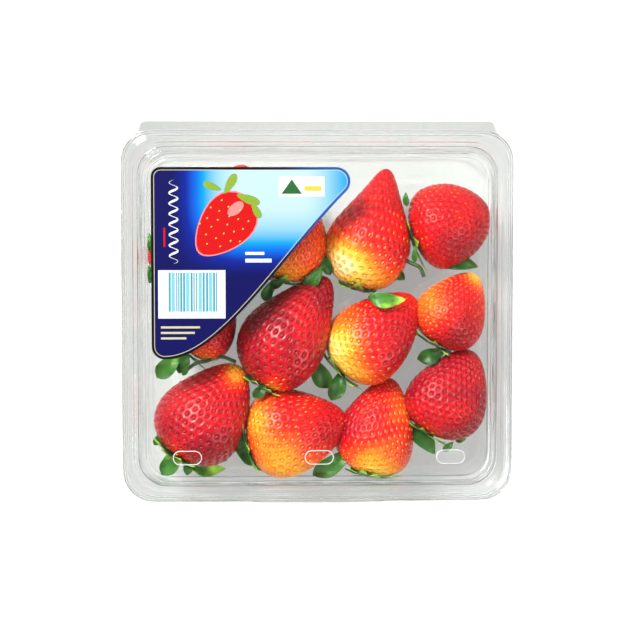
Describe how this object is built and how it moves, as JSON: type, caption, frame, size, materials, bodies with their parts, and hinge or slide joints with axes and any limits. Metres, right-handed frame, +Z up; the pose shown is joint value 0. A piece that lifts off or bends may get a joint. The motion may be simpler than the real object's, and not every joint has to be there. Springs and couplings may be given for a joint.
{
  "type": "punnet of strawberries",
  "caption": "Clear hinged plastic punnet, shut, with a single layer of strawberries and a plain blue three-cornered label on its lid.",
  "frame": {"origin": "on the table, under the middle of the pack's outline", "axes": "+X to the right, +Y towards the hinge, +Z up"},
  "size_m": [0.19, 0.1857, 0.0526],
  "materials": {
    "clear_sheet": "clear, thermoformed, glossy",
    "label_print": "glossy printed sticker",
    "fruit": "moist, glossy, pitted"
  },
  "bodies": {
    "tray": {"tray": "clear_sheet", "strawberries": "fruit"},
    "lid": {"lid": "clear_sheet", "label": "label_print"}
  },
  "joints": [
    {"name": "lid_hinge", "type": "hinge", "parent": "tray", "child": "lid", "pos_m": [0, 0.09285, 0.03215], "axis": [-1, 0, 0], "range_deg": [0, 180]}
  ]
}
